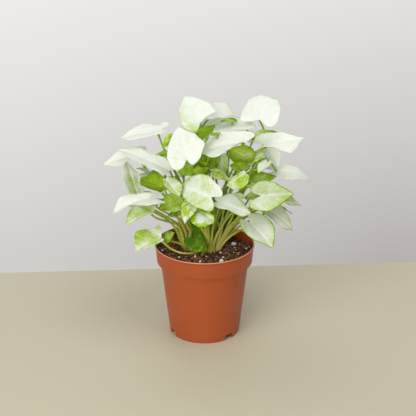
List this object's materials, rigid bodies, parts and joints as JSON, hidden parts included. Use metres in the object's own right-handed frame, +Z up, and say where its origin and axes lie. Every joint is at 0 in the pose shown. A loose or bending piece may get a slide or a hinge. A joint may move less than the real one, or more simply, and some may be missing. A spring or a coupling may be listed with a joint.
{
  "type": "potted syngonium",
  "caption": "Young bushy arrowhead plant (syngonium) with white and green variegated leaves, growing in soil in a terracotta-coloured plastic nursery pot.",
  "frame": {"origin": "on the surface that the pot stands on, under the middle of the whole plant's box; the pot's axis stands 3 mm to the left of it and 31 mm in front of it, at x -0.0033, y -0.0308", "axes": "+Z up, parallel to the pot's axis; the plant's best side faces -Y"},
  "size_m": [0.2474, 0.2166, 0.2832],
  "materials": {
    "pot_plastic": "satin",
    "soil": "matte",
    "stalks": "satin",
    "leaf_white": "satin",
    "leaf_pale_green": "satin",
    "leaf_green": "satin"
  },
  "bodies": {
    "root": {"back_left_leaf_1": "leaf_white", "back_left_leaf_10": "leaf_green", "back_left_leaf_2": "leaf_white", "back_left_leaf_3": "leaf_white", "back_left_leaf_4": "leaf_white", "back_left_leaf_5": "leaf_pale_green", "back_left_leaf_6": "leaf_pale_green", "back_left_leaf_7": "leaf_pale_green", "back_left_leaf_8": "leaf_green", "back_left_leaf_9": "leaf_pale_green", "back_left_plantlet_stalks": "stalks", "back_right_leaf_1": "leaf_white", "back_right_leaf_2": "leaf_white", "back_right_leaf_3": "leaf_pale_green", "back_right_leaf_4": "leaf_pale_green", "back_right_leaf_5": "leaf_white", "back_right_leaf_6": "leaf_pale_green", "back_right_leaf_7": "leaf_pale_green", "back_right_leaf_8": "leaf_white", "back_right_leaf_9": "leaf_white", "back_right_plantlet_stalks": "stalks", "centre_leaf_1": "leaf_white", "centre_leaf_2": "leaf_green", "centre_leaf_3": "leaf_green", "centre_leaf_4": "leaf_green", "centre_leaf_5": "leaf_pale_green", "centre_leaf_6": "leaf_pale_green", "centre_leaf_7": "leaf_white", "centre_leaf_8": "leaf_green", "centre_leaf_9": "leaf_white", "centre_plantlet_stalks": "stalks", "front_leaf_1": "leaf_pale_green", "front_leaf_2": "leaf_pale_green", "front_leaf_3": "leaf_green", "front_leaf_4": "leaf_pale_green", "front_leaf_5": "leaf_white", "front_leaf_6": "leaf_green", "front_leaf_7": "leaf_pale_green", "front_leaf_8": "leaf_green", "front_leaf_9": "leaf_pale_green", "front_plantlet_stalks": "stalks", "left_leaf_1": "leaf_white", "left_leaf_2": "leaf_white", "left_leaf_3": "leaf_pale_green", "left_leaf_4": "leaf_green", "left_leaf_5": "leaf_pale_green", "left_leaf_6": "leaf_pale_green", "left_leaf_7": "leaf_green", "left_plantlet_stalks": "stalks", "pot": "pot_plastic", "potting_soil": "soil", "right_leaf_1": "leaf_pale_green", "right_leaf_2": "leaf_pale_green", "right_leaf_3": "leaf_pale_green", "right_leaf_4": "leaf_pale_green", "right_leaf_5": "leaf_white", "right_leaf_6": "leaf_pale_green", "right_leaf_7": "leaf_green", "right_leaf_8": "leaf_pale_green", "right_plantlet_stalks": "stalks"}
  },
  "joints": []
}
